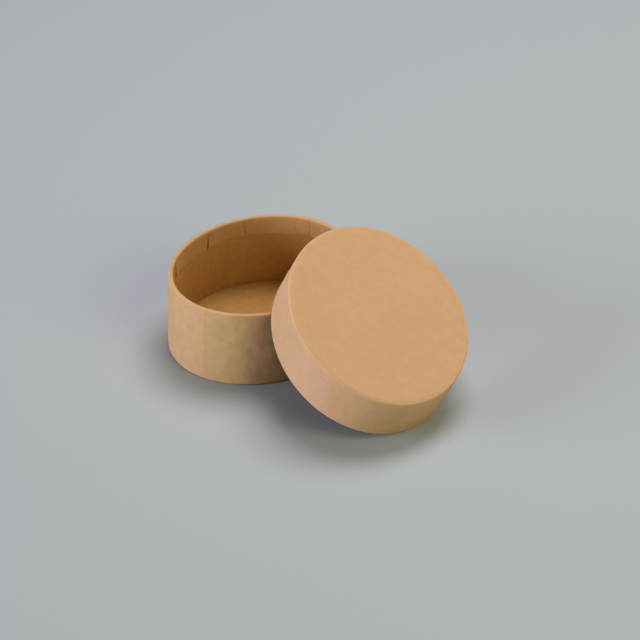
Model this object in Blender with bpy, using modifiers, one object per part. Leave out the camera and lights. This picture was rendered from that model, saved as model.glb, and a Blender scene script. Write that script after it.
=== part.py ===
"""Oval board box covered in kraft paper, standing open, with its lid leaned on the rim.

All sizes are metres and +Z is up. The origin is the middle of the box's underside, and the
oval's long axis lies along X. Each sub-part is one object, and the lid's four hang under an
empty at the middle of the lid's mouth, with the lid's own +Z out of its top.
"""

import math

import bmesh
import bpy
from mathutils import Matrix, Vector

# Sheet stock and the seats between sheets
PAPER = 0.00025
WALL_BOARD = 0.0012
FLOOR_BOARD = 0.0010
LID_BOARD = 0.0012
SEAT_GAP = 0.0003
FOLD_RADIUS = 0.0005

# The box: outside sizes over the paper
BOX_LENGTH = 0.1000
BOX_WIDTH = 0.0823
BOX_HEIGHT = 0.0374
BOX_TURN_IN = 0.0092
BOX_MARGIN = 0.0070
BOTTOM_PAPER_INSET = 0.0012
BOX_FLAP_WIDTH = 0.0060
BOX_FLAP_TRIM = 0.0022

# The lid
LID_CLEARANCE = 0.0007
LID_HEIGHT = 0.0224
LID_TURN_IN = 0.0085
LID_MARGIN = 0.0050
TOP_PAPER_INSET = 0.0012
LID_FLAP_WIDTH = 0.0075
LID_FLAP_TRIM = 0.0037

# Slits that let the turned-in paper lie flat
SLIT_WIDTH = 0.0011
SLIT_TIP = 0.0003
SLIT_STOP = 0.0010
MARGIN_SLIT_WIDTH = 0.0020
FLAP_SINK = 0.0001
CUT_OVERRUN = 0.0002

# Where the slits and the lapped ends lie, as shares of a turn from the oval's +X end
BOX_SLIT_SHARES = (0.040, 0.137, 0.209, 0.318, 0.388, 0.455, 0.545, 0.628, 0.706, 0.790, 0.868, 0.945)
LID_SLIT_SHARES = (0.018, 0.104, 0.192, 0.271, 0.352, 0.437, 0.518, 0.603, 0.690, 0.768, 0.842, 0.966)
BOX_LAP_SHARE = 0.5
LID_LAP_SHARE = -0.067

# How the lid leans: where its top looks in plan, how its oval is turned, and how far up its
# mouth the box's rim crosses it, as a share of the mouth's half extent up the slope
LEAN_AZIMUTH = math.radians(-96.5)
LID_TURN = math.radians(-142.35)
CROSSING_SHARE = 0.764

SEGMENTS = 72
FLAP_SEGMENTS = 3
FOLD_SEGMENTS = 3
WELD_DISTANCE = 1e-7
SHARP_ANGLE = math.radians(40)

# Sizes that follow from those above
WALL = 2 * PAPER + 2 * SEAT_GAP + WALL_BOARD
LAYER = PAPER + SEAT_GAP
DISC_INSET = LAYER + WALL_BOARD + SEAT_GAP
LID_LENGTH = BOX_LENGTH + 2 * (LID_CLEARANCE + WALL)
LID_WIDTH = BOX_WIDTH + 2 * (LID_CLEARANCE + WALL)
BOX_OVAL = (BOX_LENGTH / 2, BOX_WIDTH / 2)
LID_OVAL = (LID_LENGTH / 2, LID_WIDTH / 2)

KRAFT = (0.60, 0.36, 0.18)
KRAFT_LID = (0.63, 0.37, 0.19)
BARE_BOARD = (0.47, 0.27, 0.12)


def clear_scene():
    for old in list(bpy.data.objects):
        bpy.data.objects.remove(old, do_unlink=True)


def new_collection(name):
    collection = bpy.data.collections.new(name)
    bpy.context.scene.collection.children.link(collection)
    return collection


def sheet_material(name, colour, roughness):
    """A dull paper or board of one colour."""
    material = bpy.data.materials.new(name)
    material.use_nodes = True
    shader = material.node_tree.nodes["Principled BSDF"]
    shader.inputs["Base Color"].default_value = (*colour, 1.0)
    shader.inputs["Roughness"].default_value = roughness
    shader.inputs["Metallic"].default_value = 0.0
    return material


def oval_place(oval, angle, inset=0.0):
    """A point at an angle round the oval, moved inwards along the outline's normal."""
    half_length, half_width = oval
    normal = Vector((half_width * math.cos(angle), half_length * math.sin(angle), 0.0)).normalized()
    outline = Vector((half_length * math.cos(angle), half_width * math.sin(angle), 0.0))
    return outline - inset * normal, normal


def angle_step(oval, angle, distance):
    """The change of angle that moves this far along the outline."""
    half_length, half_width = oval
    return distance / math.hypot(half_length * math.sin(angle), half_width * math.cos(angle))


def line_curve(name, points, closed):
    """A flat curve of straight runs through the points, each an x and a y."""
    curve = bpy.data.curves.new(name, "CURVE")
    curve.dimensions = "2D"
    spline = curve.splines.new("POLY")
    spline.points.add(len(points) - 1)
    for point, (x, y) in zip(spline.points, points):
        point.co = (x, y, 0.0, 1.0)
    spline.use_cyclic_u = closed
    return curve


def arc(centre_x, centre_y, radius, start_degrees, end_degrees):
    """Points of a fold's round, both ends included."""
    points = []
    for step in range(FOLD_SEGMENTS + 1):
        turn = math.radians(start_degrees + (end_degrees - start_degrees) * step / FOLD_SEGMENTS)
        points.append((centre_x + radius * math.cos(turn), centre_y + radius * math.sin(turn)))
    return points


def strip(name, oval, profile, thickness, collection, material, start=0.0, sweep=math.tau):
    """A sheet carried round the oval: the profile holds its inward distances and heights."""
    closed = sweep >= math.tau
    count = SEGMENTS if closed else max(FLAP_SEGMENTS, round(SEGMENTS * sweep / math.tau))
    stops = count if closed else count + 1
    path_points = [oval_place(oval, start + sweep * step / count)[0].xy for step in range(stops)]
    if not closed:
        # An open path carries its profile on the other side, so it is drawn the other way round
        path_points.reverse()
    path = line_curve(name + "_path", path_points, closed)
    section = bpy.data.objects.new(name + "_section", line_curve(name + "_section", profile, False))
    path.bevel_mode = "OBJECT"
    path.bevel_object = section
    carried = bpy.data.objects.new(name + "_path", path)
    for helper in (section, carried):
        collection.objects.link(helper)
    graph = bpy.context.evaluated_depsgraph_get()
    mesh = bpy.data.meshes.new_from_object(carried.evaluated_get(graph))
    for helper in (carried, section):
        bpy.data.objects.remove(helper, do_unlink=True)
    merge_close_points(mesh)
    sheet = bpy.data.objects.new(name, mesh)
    collection.objects.link(sheet)
    sheet.data.materials.clear()
    sheet.data.materials.append(material)
    solid = sheet.modifiers.new("thickness", "SOLIDIFY")
    solid.thickness = thickness
    solid.offset = 0.0
    solid.use_even_offset = True
    mesh.shade_smooth()
    mesh.set_sharp_from_angle(angle=SHARP_ANGLE)
    return sheet


def merge_close_points(mesh):
    shape = bmesh.new()
    shape.from_mesh(mesh)
    bmesh.ops.remove_doubles(shape, verts=shape.verts, dist=WELD_DISTANCE)
    shape.to_mesh(mesh)
    shape.free()


def disc(name, oval, inset, bottom, thickness, collection, material):
    """A flat oval sheet, its edge inset from the outline."""
    angles = [math.tau * step / SEGMENTS for step in range(SEGMENTS)]
    outline = [oval_place(oval, angle, inset)[0].xy for angle in angles]
    curve = line_curve(name, outline, True)
    curve.fill_mode = "BOTH"
    curve.extrude = thickness / 2
    curve.materials.append(material)
    sheet = bpy.data.objects.new(name, curve)
    sheet.location.z = bottom + thickness / 2
    collection.objects.link(sheet)
    return sheet


def wall_board(name, oval, lap_share, bottom, top, collection, material):
    """The bent board strip between the paper's two legs, its ends a seat's gap apart."""
    inset = LAYER + WALL_BOARD / 2
    joint = math.tau * lap_share
    gap = angle_step(oval, joint, SEAT_GAP)
    profile = [(inset, bottom), (inset, top)]
    return strip(name, oval, profile, WALL_BOARD, collection, material, joint + gap / 2, math.tau - gap)


def wrap_profile(height, margin_end, margin_height, turn_in):
    """The wrapping paper's middle line: margin, fold, outer leg, rim, turned-in leg.

    It is drawn with the margin at the bottom and the rim at the top, from the outline inwards.
    """
    half = PAPER / 2
    outer = half
    inner = WALL - half
    rim = height - half
    points = [(margin_end, margin_height)]
    points += arc(outer + FOLD_RADIUS, margin_height + FOLD_RADIUS, FOLD_RADIUS, 270, 180)
    points += arc(outer + FOLD_RADIUS, rim - FOLD_RADIUS, FOLD_RADIUS, 180, 90)
    points += arc(inner - FOLD_RADIUS, rim - FOLD_RADIUS, FOLD_RADIUS, 90, 0)
    points.append((inner, height - turn_in))
    return points


def wedge(shape, place, across, through, along, length, depth, tip):
    """Adds one tapering cutter: it starts at place with its tip's width and widens along."""
    made = bmesh.ops.create_cube(shape, size=1.0)["verts"]
    for vertex in made:
        share = vertex.co.z + 0.5
        width = tip[0] + (tip[1] - tip[0]) * share
        sideways = across * vertex.co.x * width + through * vertex.co.y * depth
        vertex.co = place + sideways + along * length * share


def slit_cutter(name, oval, shares, turn_in_stop, turn_in_end, margin_end, margin_height, collection):
    """One cutter for all the slits of a wrap: in its turned-in leg and in its margin."""
    shape = bmesh.new()
    depth = PAPER + 2 * CUT_OVERRUN
    up = Vector((0.0, 0.0, 1.0))
    for share in shares:
        angle = math.tau * share
        place, normal = oval_place(oval, angle, WALL - PAPER / 2)
        along = up if turn_in_end > turn_in_stop else -up
        length = abs(turn_in_end - turn_in_stop) + CUT_OVERRUN
        across = up.cross(normal)
        start = place + up * turn_in_stop
        wedge(shape, start, across, normal, along, length, depth, (SLIT_TIP, SLIT_WIDTH))
        place, normal = oval_place(oval, angle, PAPER + FOLD_RADIUS)
        start = place + up * margin_height
        length = margin_end - PAPER - FOLD_RADIUS + CUT_OVERRUN
        wedge(shape, start, across, up, -normal, length, depth, (SLIT_TIP, MARGIN_SLIT_WIDTH))
    bmesh.ops.recalc_face_normals(shape, faces=shape.faces)
    mesh = bpy.data.meshes.new(name)
    shape.to_mesh(mesh)
    shape.free()
    cutter = bpy.data.objects.new(name, mesh)
    collection.objects.link(cutter)
    hide_helper(cutter)
    return cutter


def hide_helper(helper):
    helper.hide_render = True
    helper.display_type = "WIRE"


def boolean(target, other, operation):
    modifier = target.modifiers.new(other.name, "BOOLEAN")
    modifier.operation = operation
    modifier.solver = "EXACT"
    modifier.object = other


def flap(name, oval, lap_share, width, bottom, top, collection, material):
    """The outer end of the wrapping paper, lapped over its start and glued down."""
    angle = math.tau * lap_share
    inset = FLAP_SINK - PAPER / 2
    profile = [(inset, bottom), (inset, top)]
    sweep = angle_step(oval, angle, width)
    sheet = strip(name, oval, profile, PAPER, collection, material, angle - sweep, sweep)
    hide_helper(sheet)
    return sheet


def make_box(parts, cutters, kraft, board):
    """The box's four sheets, from the underside up."""
    margin_height = LAYER + PAPER / 2
    board_bottom = 2 * LAYER
    disc("base_bottom_paper", BOX_OVAL, BOTTOM_PAPER_INSET, 0.0, PAPER, parts, kraft)
    disc("base_floor_board", BOX_OVAL, DISC_INSET, board_bottom, FLOOR_BOARD, parts, board)
    wall_board("base_wall_board", BOX_OVAL, BOX_LAP_SHARE, board_bottom, BOX_HEIGHT - LAYER, parts, board)
    profile = wrap_profile(BOX_HEIGHT, BOX_MARGIN, margin_height, BOX_TURN_IN)
    wrap = strip("base_wrap_paper", BOX_OVAL, profile, PAPER, parts, kraft)
    lap = flap(
        "base_wrap_flap",
        BOX_OVAL,
        BOX_LAP_SHARE,
        BOX_FLAP_WIDTH,
        margin_height + FOLD_RADIUS,
        BOX_HEIGHT - BOX_FLAP_TRIM,
        cutters,
        kraft,
    )
    slits = slit_cutter(
        "base_wrap_slits",
        BOX_OVAL,
        BOX_SLIT_SHARES,
        BOX_HEIGHT - SLIT_STOP,
        BOX_HEIGHT - BOX_TURN_IN,
        BOX_MARGIN,
        margin_height,
        cutters,
    )
    boolean(wrap, lap, "UNION")
    boolean(wrap, slits, "DIFFERENCE")


def lid_placement():
    """The empty's matrix: the lid's lowest edge is on the floor and its mouth lies on the rim.

    Up the slope of the lid's mouth, the rim crosses the mouth's inner oval along a level chord.
    The chord's two ends lie on the box's outer oval, which fixes the lid's place in plan.
    """
    half_length, half_width = LID_OVAL
    inner_length, inner_width = half_length - WALL, half_width - WALL
    up_x, up_y = math.sin(LID_TURN), math.cos(LID_TURN)
    across_x, across_y = math.cos(LID_TURN), -math.sin(LID_TURN)
    outer_reach = math.hypot(half_length * up_x, half_width * up_y)
    inner_reach = math.hypot(inner_length * up_x, inner_width * up_y)
    crossing = CROSSING_SHARE * inner_reach
    # The mouth's outer fold is round, so the floor meets the lid on the round and not on a corner.
    # On the rim, the corners that the two folds round off would just touch, which leaves the seat's gap.
    fold = FOLD_RADIUS + PAPER / 2
    reach = crossing + outer_reach - fold
    tilt = math.asin((BOX_HEIGHT - fold) / math.hypot(reach, fold)) + math.atan(fold / reach)

    # Ends of the chord across the inner oval, along the level direction
    square = (across_x / inner_length) ** 2 + (across_y / inner_width) ** 2
    slope = crossing * (up_x * across_x / inner_length**2 + up_y * across_y / inner_width**2)
    rest = (crossing * up_x / inner_length) ** 2 + (crossing * up_y / inner_width) ** 2 - 1
    middle_along = -slope / square
    half_chord = math.sqrt(slope**2 - square * rest) / square

    # The same chord across the box's outer oval, on the side that the lid leans to
    out = Vector((math.cos(LEAN_AZIMUTH), math.sin(LEAN_AZIMUTH), 0.0))
    level = Vector((-out.y, out.x, 0.0))
    box_length, box_width = BOX_OVAL
    through = Vector((-level.y * box_length / box_width, level.x * box_width / box_length, 0.0))
    through = through if through.dot(out) > 0 else -through
    through /= math.hypot(through.x / box_length, through.y / box_width)
    longest = 1 / math.hypot(level.x / box_length, level.y / box_width)
    chord_middle = through * math.sqrt(1 - (half_chord / longest) ** 2)

    normal = Vector((out.x * math.sin(tilt), out.y * math.sin(tilt), math.cos(tilt)))
    uphill = normal.cross(level)
    lid_x = level * across_x + uphill * up_x
    lid_y = level * across_y + uphill * up_y
    place = Vector((chord_middle.x, chord_middle.y, BOX_HEIGHT)) - uphill * crossing - level * middle_along
    turned = Matrix((lid_x, lid_y, normal)).transposed().to_4x4()
    return Matrix.Translation(place) @ turned


def make_lid(parts, cutters, kraft, board):
    """The lid's four sheets, in its own frame: the mouth is at zero and the top is up."""
    stand = bpy.data.objects.new("lid_stand", None)
    parts.objects.link(stand)
    margin_height = LID_HEIGHT - LAYER - PAPER / 2
    board_top = LID_HEIGHT - 2 * LAYER
    sheets = [
        disc("lid_top_paper", LID_OVAL, TOP_PAPER_INSET, LID_HEIGHT - PAPER, PAPER, parts, kraft),
        disc("lid_top_board", LID_OVAL, DISC_INSET, board_top - LID_BOARD, LID_BOARD, parts, board),
        wall_board("lid_rim_board", LID_OVAL, LID_LAP_SHARE, LAYER, board_top, parts, board),
    ]
    # The wrap is the box's, upside down: its rim is the mouth and its margin lies on the top
    upright = wrap_profile(margin_height + PAPER / 2, LID_MARGIN, PAPER / 2, LID_TURN_IN)
    profile = [(inset, margin_height + PAPER / 2 - height) for inset, height in upright]
    wrap = strip("lid_wrap_paper", LID_OVAL, profile, PAPER, parts, kraft)
    lap = flap(
        "lid_wrap_flap",
        LID_OVAL,
        LID_LAP_SHARE,
        LID_FLAP_WIDTH,
        FOLD_RADIUS,
        LID_HEIGHT - LID_FLAP_TRIM,
        cutters,
        kraft,
    )
    slits = slit_cutter(
        "lid_wrap_slits",
        LID_OVAL,
        LID_SLIT_SHARES,
        SLIT_STOP,
        LID_TURN_IN,
        LID_MARGIN,
        margin_height,
        cutters,
    )
    boolean(wrap, lap, "UNION")
    boolean(wrap, slits, "DIFFERENCE")
    for sheet in sheets + [wrap, lap, slits]:
        sheet.parent = stand
    stand.matrix_world = lid_placement()


def main():
    clear_scene()
    parts = new_collection("oval_board_box")
    cutters = new_collection("cutters")
    kraft = sheet_material("kraft_paper", KRAFT, 0.85)
    kraft_lid = sheet_material("kraft_paper_lid", KRAFT_LID, 0.85)
    board = sheet_material("bare_board", BARE_BOARD, 0.90)
    make_box(parts, cutters, kraft, board)
    make_lid(parts, cutters, kraft_lid, board)


main()
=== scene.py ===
"""An oval board box covered in kraft paper, standing open, with its lid leaned on the rim.

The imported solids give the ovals, the heights and the lid's place. Here each of the eight sheets is made
again as finely as it shows, with its folds, lap, slits and small dents, and gets its finish. All lengths
are metres and +Z is up. The lid is modelled upright round the origin and then laid where the solids
have it.
"""

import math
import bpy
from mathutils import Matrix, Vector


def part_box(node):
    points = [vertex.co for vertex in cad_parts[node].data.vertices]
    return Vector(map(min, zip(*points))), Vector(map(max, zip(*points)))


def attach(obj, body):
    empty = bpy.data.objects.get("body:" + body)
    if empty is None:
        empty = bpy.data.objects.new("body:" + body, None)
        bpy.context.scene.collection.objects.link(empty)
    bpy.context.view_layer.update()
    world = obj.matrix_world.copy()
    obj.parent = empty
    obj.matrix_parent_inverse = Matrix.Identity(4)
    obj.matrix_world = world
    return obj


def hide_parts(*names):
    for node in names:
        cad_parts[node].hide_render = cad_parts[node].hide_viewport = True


bl_info = {
    "name": "Oval Board Box",
    "version": (1, 0, 0),
    "blender": (4, 5, 0),
    "location": "View3D > Sidebar > Oval Box",
    "description": "Dresses the solids of an oval, paper-covered board box with a lift-off lid",
    "category": "Add Mesh",
}

import bmesh
import bpy
import numpy as np
from mathutils import Matrix, Vector

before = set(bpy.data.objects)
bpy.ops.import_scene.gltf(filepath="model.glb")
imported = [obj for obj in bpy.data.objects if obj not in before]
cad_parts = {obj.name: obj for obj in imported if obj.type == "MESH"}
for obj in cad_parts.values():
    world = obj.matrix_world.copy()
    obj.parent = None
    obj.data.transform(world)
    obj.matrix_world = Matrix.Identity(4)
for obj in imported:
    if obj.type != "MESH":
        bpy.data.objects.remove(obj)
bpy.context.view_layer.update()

MM = 0.001

# How finely the sheets are drawn: columns of corners round an oval, the longest run between rings, runs
# in a fold's quarter turn, and steps by which an outline's length is summed
COLUMNS = 360
ROW_STEP = 0.9 * MM
FOLD_STEPS = 5
STEPS_PER_COLUMN = 40
# A circle's first corner is on +Y, a quarter of a turn from the oval's +X end
FIRST_TURN = 0.25
# The rings at a disc's edge: how far in each lies, and how worn and painted with highlight the two
# outermost are
DISC_RINGS = (0.35 * MM, 0.9 * MM, 1.8 * MM)
DISC_WEAR_AND_HIGHLIGHT = (1.0, 0.4)
# Places closer than this are the same, and runs are straight when their directions' product is above this
CLOSE = 0.01 * MM
STRAIGHT = 0.99999
PLACE_DECIMALS = 6
SHARP_ANGLE = math.radians(35)

# The UV map of the sheet laid flat, the group of corners that may move, and the masks for the finish:
# painted shade in the slits, rubbed wear with painted highlight at the folds, painted shade on the
# turned-in leg, and the sheet's two ends
LIE = "lie"
GIVE = "give"
PAINTED_SLIT_SHADE = "slit_shade_mask"
WEAR_AND_HIGHLIGHT = "rub_and_highlight"
INNER_SHADE_MASK = "glued"
PALE_END = "pale_end"
GREEN_START = "green_start"

# How far from a fold the paper is rubbed and painted with highlight, how far the cover's outer rings are
# pressed down, and how far the floor and the side boards keep from the paper round them
WEAR_AND_HIGHLIGHT_REACH = 0.8 * MM
PRESSED = (0.16 * MM, 0.10 * MM, 0.03 * MM)
FLOOR_GAP = 0.35 * MM
BOARD_BACK = 0.45 * MM

# Slight waves, as the size of their pattern and their height, and how many rings they take to die out
# beside a fold
SIDE_WAVES = ((7.0 * MM, 0.55 * MM), (2.6 * MM, 0.16 * MM))
FLOOR_WAVES = (22.0 * MM, 0.25 * MM)
COVER_WAVES = (26.0 * MM, 0.2 * MM)
EASE_RINGS = 6

# The box's oval and heights, from the solids' own boxes
WRAP_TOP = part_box("base_wrap_paper")[1]
BOX_OVAL = (WRAP_TOP.x, WRAP_TOP.y)
BOX_HEIGHT = WRAP_TOP.z
FLOOR_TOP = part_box("base_floor_board")[1].z


def node_points(name):
    """The places of a CAD node's corners, each once."""
    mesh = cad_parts[name].data
    places = np.zeros(len(mesh.vertices) * 3)
    mesh.vertices.foreach_get("co", places)
    return np.unique(places.reshape(-1, 3).round(PLACE_DECIMALS), axis=0)


def read_lid_frame():
    """The lid's own frame, from its cover paper: the long way, the short way and out of the top."""
    places = node_points("lid_top_paper")
    middle = places.mean(0)
    _, directions = np.linalg.eigh(np.cov((places - middle).T))
    out, long_way = Vector(directions[:, 0]), Vector(directions[:, 2])
    out = out if out.z > 0 else -out
    long_way = long_way if long_way.x < 0 else -long_way
    short_way = out.cross(long_way)
    turned = Matrix((long_way, short_way, out)).transposed()
    wrap = node_points("lid_wrap_paper") @ np.array(turned)
    cover = places @ np.array(turned)
    # The mouth is at zero height: the wrap's lowest point along the lid's own up direction
    across = (cover.min(0) + cover.max(0)) / 2
    mouth = Vector((across[0], across[1], wrap[:, 2].min()))
    half_length = (cover[:, 0].max() - cover[:, 0].min()) / 2
    half_width = (cover[:, 1].max() - cover[:, 1].min()) / 2
    placed = Matrix.Translation(turned @ mouth) @ turned.to_4x4()
    return placed, (half_length, half_width), cover[:, 2].max() - mouth.z


LID_FRAME, COVER_OVAL, LID_HEIGHT = read_lid_frame()


def length_setting(name, description, millimetres):
    default = millimetres * MM
    return bpy.props.FloatProperty(name=name, description=description, default=default, unit="LENGTH")


def colour_setting(name, description, channels):
    return bpy.props.FloatVectorProperty(
        name=name, description=description, subtype="COLOR", size=3, default=channels
    )


def share_setting(name, description, share):
    return bpy.props.FloatProperty(name=name, description=description, default=share, min=0.0, max=2.0)


class OvalBoxSizes(bpy.types.PropertyGroup):
    """Sheet stock, folds and cuts that the solids' boxes don't give."""

    paper: length_setting("Paper", "Thickness of the kraft paper", 0.25)
    wall: length_setting("Wall", "Board with paper on both faces", 2.3)
    top_board: length_setting("Top board", "Thickness of the lid's disc", 1.2)
    rim_round: length_setting("Rim round", "Round of the folds over a rim", 0.8)
    bottom_round: length_setting("Bottom round", "Round of the fold under the box", 0.8)
    top_round: length_setting("Top round", "Round of the fold at the lid's top", 0.8)
    cover_inset: length_setting("Cover inset", "How far inside the outline the papers end", 1.2)
    box_turn_in: length_setting("Box turn-in", "Depth of paper turned into the box", 9.2)
    box_margin: length_setting("Box margin", "Paper folded under the box", 7.0)
    lid_turn_in: length_setting("Lid turn-in", "Depth of paper turned into the lid", 8.5)
    lid_margin: length_setting("Lid margin", "Paper folded over the lid's top", 5.0)


class OvalBoxFinish(bpy.types.PropertyGroup):
    """Colours of the paper and the board, and the stage."""

    kraft: colour_setting("Kraft paper", "The box's paper", (0.605, 0.347, 0.164))
    kraft_lid: colour_setting("Lid paper", "The lid's paper", (0.665, 0.377, 0.203))
    # The board's colour is partly its own and partly painted shade, darker and more orange than the
    # paper's, as it shows only inside the box and the lid
    board: colour_setting("Bare board", "Board without paper", (0.525, 0.272, 0.076))
    floor: colour_setting("Floor", "The stage's plain floor", (0.43, 0.455, 0.49))
    box_mottle: share_setting("Box mottle", "How patchy the box's paper is", 1.0)
    lid_mottle: share_setting("Lid mottle", "How patchy the lid's paper is", 0.55)


def in_metres(*rows):
    """Rows of a share or an angle and then lengths in millimetres, with the lengths in metres."""
    return tuple((first, *(length * MM for length in lengths)) for first, *lengths in rows)


# Slits in the turned-in paper: share of a turn from the oval's +X end, width at the edge, how far the
# paper beside it stands off the board, and how far aside its end lies
BOX_SLITS = in_metres(
    (0.012, 0.3, 0.05, 0.2),
    (0.048, 0.2, 0.36, -2.6),
    (0.137, 0.6, 0.06, -0.9),
    (0.208, 1.25, 0.1, 0.1),
    (0.314, 2.6, 0.25, 0.3),
    (0.388, 0.8, 0.1, -0.4),
    (0.455, 0.95, 0, 0.5),
    (0.545, 0.75, 0.12, 0.2),
    (0.628, 1.15, 0.05, -0.6),
    (0.706, 0.6, 0.08, 0.3),
    (0.79, 1, 0.15, -0.2),
    (0.868, 0.85, 0, 0.7),
    (0.945, 1.05, 0.1, -0.3),
)
LID_SLITS = in_metres(
    (0.018, 0.9, 0.08, 0.3),
    (0.104, 0.65, 0, -0.5),
    (0.192, 1.1, 0.12, 0.2),
    (0.271, 0.8, 0.05, 0.6),
    (0.352, 1, 0.1, -0.3),
    (0.437, 0.7, 0, 0.4),
    (0.518, 1.2, 0.14, -0.6),
    (0.603, 0.85, 0.05, 0.2),
    (0.69, 0.75, 0.1, -0.2),
    (0.768, 1.05, 0, 0.5),
    (0.842, 0.9, 0.08, -0.4),
    (0.966, 0.7, 0.12, 0.3),
)

# The turned-in paper's edge isn't cut straight: angle in degrees, how far it is drawn back, and reach
BOX_EDGE = in_metres(
    (60, 1.4, 9),
    (45, 0.7, 4),
    (21, -0.6, 8),
    (8, 0.9, 5),
    (-10, 0.5, 9),
    (95, -0.4, 10),
    (128, 0.6, 8),
    (176, -0.5, 12),
    (214, 0.6, 9),
    (243, -0.5, 8),
    (272, 0.5, 10),
    (330, -0.6, 9),
)
LID_EDGE = in_metres(
    (22, 0.6, 9),
    (55, -0.5, 8),
    (84, 0.5, 7),
    (112, -0.6, 10),
    (145, 0.7, 8),
    (172, -0.4, 9),
    (203, 0.5, 8),
    (235, -0.6, 9),
    (262, 0.6, 8),
    (318, -0.5, 12),
)

# Small dents in the side: angle in degrees, height above the box's underside or the lid's mouth, depth
# and reach
BOX_DENTS = in_metres(
    (172.1, 27.5, 0.1, 2.6),
    (-178.4, 18.1, 0.12, 2.4),
    (-174.8, 25.3, 0.08, 2.8),
    (-170.6, 12.6, 0.12, 4),
    (-165.3, 21.3, -0.09, 3.4),
    (-159.5, 8.4, 0.14, 4.2),
    (-156.5, 33, 0.08, 1.9),
    (-158.3, 30.4, 0.1, 1.9),
    (-160.2, 27.9, 0.1, 1.9),
    (-162.4, 25.6, 0.08, 1.9),
    (-154.2, 22, 0.14, 2.4),
    (-149.1, 19.4, 0.12, 3.6),
    (-173.6, 20, 0.15, 1.6),
    (-166.8, 15.6, 0.15, 1.7),
    (-163, 11.2, -0.13, 1.9),
    (-157.6, 17.4, 0.18, 1.6),
    (-155.2, 12.8, 0.15, 1.7),
    (-152.6, 8.6, -0.13, 1.7),
    (-158.6, 23.6, -0.12, 1.8),
    (-153.4, 28.2, 0.14, 1.7),
    (-151.8, 16.4, -0.05, 3.2),
    (-150.6, 11.5, 0.12, 3),
    (-143, 7, 0.14, 3),
    (-100, 24, 0.12, 4),
    (-61, 15, 0.1, 3.5),
    (-24, 22, 0.13, 3),
    (12, 11, 0.12, 4),
    (31, 26, 0.09, 3),
    (58, 17, 0.12, 3.6),
    (83, 28, 0.1, 2.8),
    (104, 12, 0.13, 4),
    (131, 22, 0.1, 3),
    (152, 9, 0.11, 3.4),
)
LID_DENTS = in_metres(
    (-66.6, 8.7, 0.1, 2.4),
    (-58.5, 5, 0.1, 2.2),
    (-47.4, 6.7, 0.1, 2.6),
    (-37.6, 5.5, 0.08, 2.6),
    (-31.9, 16, 0.14, 1.6),
    (-28.6, 17.6, 0.1, 1.4),
    (-19.4, 13.9, 0.1, 2.4),
    (-2.7, 18, 0.1, 2.4),
    (6.1, 13.1, 0.12, 3),
    (14, 8, 0.1, 3),
    (42, 12, 0.1, 3),
    (77, 9, 0.12, 3.2),
    (118, 13, 0.1, 3),
    (156, 8, 0.12, 3.4),
    (194, 12, 0.1, 3),
    (239, 10, 0.12, 3),
    (276, 13, 0.1, 3),
)

# The laps: where the upper layer ends, how wide it is, how far below the rim or the top its trimmed
# edge lies, how far it stands proud, and how far round that dies out
BOX_LAP_SHARE = 0.5
BOX_LAP_WIDTH = 6.0 * MM
BOX_LAP_TRIM = 2.2 * MM
LID_LAP_SHARE = -0.075
LID_LAP_WIDTH = 6.0 * MM
LID_LAP_TRIM = 3.7 * MM
LAP_STAND = 0.05 * MM
LAP_EASE = 3.0 * MM

# The lid's lap has a slanting end: how many columns aside it leans over the run below its trimmed edge,
# and over how many times as many columns the sheet shifts with it
LID_LAP_LEAN_COLUMNS = 9.6
LID_LAP_LEAN_RUN = 17.5 * MM
LEAN_SPREAD = 2.5

# A sheet's last end is paler and its first end greenish: how far from the lap each mark is full (it is
# gone at twice that), its value at the lap, and how steeply it grows from there
BOX_TINGE = (12.5 * MM, 14.0 * MM)
LID_TINGE = (14.0 * MM, 50.0 * MM)
PALE_GROWTH = (0.6, 0.6)
GREEN_GROWTH = (0.1, 1.0)
TINGE_END = 2.0

# Painted shade in the slits: about how far apart two columns lie, and the width from which a slit is fully
# darkened
COLUMN_STEP = 0.9 * MM
FULL_SLIT_SHADE_WIDTH = 1.0 * MM


def settings():
    return bpy.context.scene.oval_box_sizes


def finish_colours():
    return bpy.context.scene.oval_box_finish


def take_up(piece):
    """Selects one piece alone and makes it the active one."""
    bpy.ops.object.select_all(action="DESELECT")
    piece.select_set(True)
    bpy.context.view_layer.objects.active = piece


def open_up(piece):
    """Opens a piece in edit mode with nothing selected, and gives its editable mesh."""
    take_up(piece)
    bpy.ops.object.mode_set(mode="EDIT")
    bpy.ops.mesh.select_mode(type="VERT")
    bpy.ops.mesh.select_all(action="DESELECT")
    return bmesh.from_edit_mesh(piece.data)


def shut():
    bpy.ops.object.mode_set(mode="OBJECT")


def apply_modifiers(piece):
    take_up(piece)
    for modifier in list(piece.modifiers):
        bpy.ops.object.modifier_apply(modifier=modifier.name)


def fill_in(points, step):
    """The same line with points added so that no run is longer than the step."""
    line = [points[0]]
    for start, end in zip(points, points[1:]):
        pieces = max(1, round(math.dist(start, end) / step))
        for part in range(1, pieces + 1):
            share = part / pieces
            line.append(tuple(a + (b - a) * share for a, b in zip(start, end)))
    return line


def arc(centre_inset, centre_height, radius, start_degrees, end_degrees):
    """Points of a fold's round, both ends included."""
    turn = end_degrees - start_degrees
    angles = [math.radians(start_degrees + turn * step / FOLD_STEPS) for step in range(FOLD_STEPS + 1)]
    return [(centre_inset + radius * math.cos(a), centre_height + radius * math.sin(a)) for a in angles]


def wrap_section(height, margin, margin_height, margin_round, turn_in):
    """The wrapping paper's middle line: margin, outer leg, rim and turned-in leg, as insets and heights."""
    s = settings()
    half = s.paper / 2
    near, far = half + s.rim_round, s.wall - half - s.rim_round
    high = height - half - s.rim_round
    line = [(margin, margin_height)]
    line += arc(half + margin_round, margin_height + margin_round, margin_round, 270, 180)
    line += arc(near, high, s.rim_round, 180, 90)
    line += arc(far, high, s.rim_round, 90, 0)
    line.append((s.wall - half, height - turn_in))
    return fill_in(line, ROW_STEP)


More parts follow.
